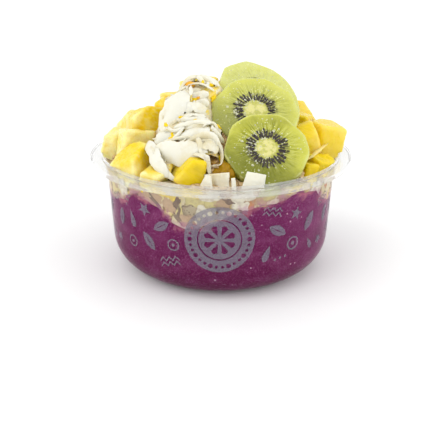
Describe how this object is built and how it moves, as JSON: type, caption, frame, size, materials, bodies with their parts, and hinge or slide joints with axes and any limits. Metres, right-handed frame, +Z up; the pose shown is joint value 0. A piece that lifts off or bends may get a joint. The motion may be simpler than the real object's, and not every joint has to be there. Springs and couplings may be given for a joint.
{
  "type": "pitaya bowl",
  "caption": "Clear round tub filled with deep purple pitaya blend and heaped with granola, overlapping kiwi slices, mango and pineapple chunks and shaved coconut.",
  "frame": {"origin": "centre of the tub's flat base, on the surface that it stands on", "axes": "+Z up; the side shown in the picture faces -Y, and +X is to its right"},
  "size_m": [0.15, 0.15, 0.1129],
  "materials": {
    "clear_plastic": "thin clear moulded plastic",
    "pitaya_blend": "thick frozen fruit puree, moist",
    "granola": "dry rough clusters",
    "kiwi": "wet cut fruit",
    "pineapple": "wet fibrous cut fruit",
    "mango": "wet smooth cut fruit",
    "fruit_flesh": "wet pale cut fruit",
    "coconut": "thin dry shavings, slightly translucent"
  },
  "bodies": {
    "root": {"bowl": "clear_plastic", "pitaya_blend": "pitaya_blend", "granola_bed": "granola", "kiwi_slice_front": "kiwi", "kiwi_slice_middle": "kiwi", "kiwi_slice_back": "kiwi", "pineapple_1": "pineapple", "pineapple_2": "pineapple", "pineapple_3": "pineapple", "pineapple_4": "pineapple", "pineapple_5": "pineapple", "pineapple_6": "pineapple", "pineapple_7": "pineapple", "mango_1": "mango", "mango_2": "mango", "mango_3": "mango", "mango_4": "mango", "mango_5": "mango", "mango_6": "mango", "mango_7": "mango", "mango_8": "mango", "pineapple_back_1": "pineapple", "pineapple_back_2": "pineapple", "pineapple_back_3": "pineapple", "pineapple_back_4": "pineapple", "pineapple_back_5": "pineapple", "pineapple_back_6": "pineapple", "mango_back_1": "mango", "mango_back_2": "mango", "mango_back_3": "mango", "mango_back_4": "mango", "mango_back_5": "mango", "mango_back_6": "mango", "mango_back_7": "mango", "wall_fruit_1": "fruit_flesh", "wall_fruit_2": "fruit_flesh", "wall_fruit_3": "fruit_flesh", "wall_fruit_4": "fruit_flesh", "wall_fruit_5": "fruit_flesh", "wall_fruit_6": "fruit_flesh", "coconut_flakes": "coconut", "coconut_chip_1": "coconut", "coconut_chip_2": "coconut", "coconut_chip_3": "coconut", "coconut_chip_4": "coconut"}
  },
  "joints": []
}
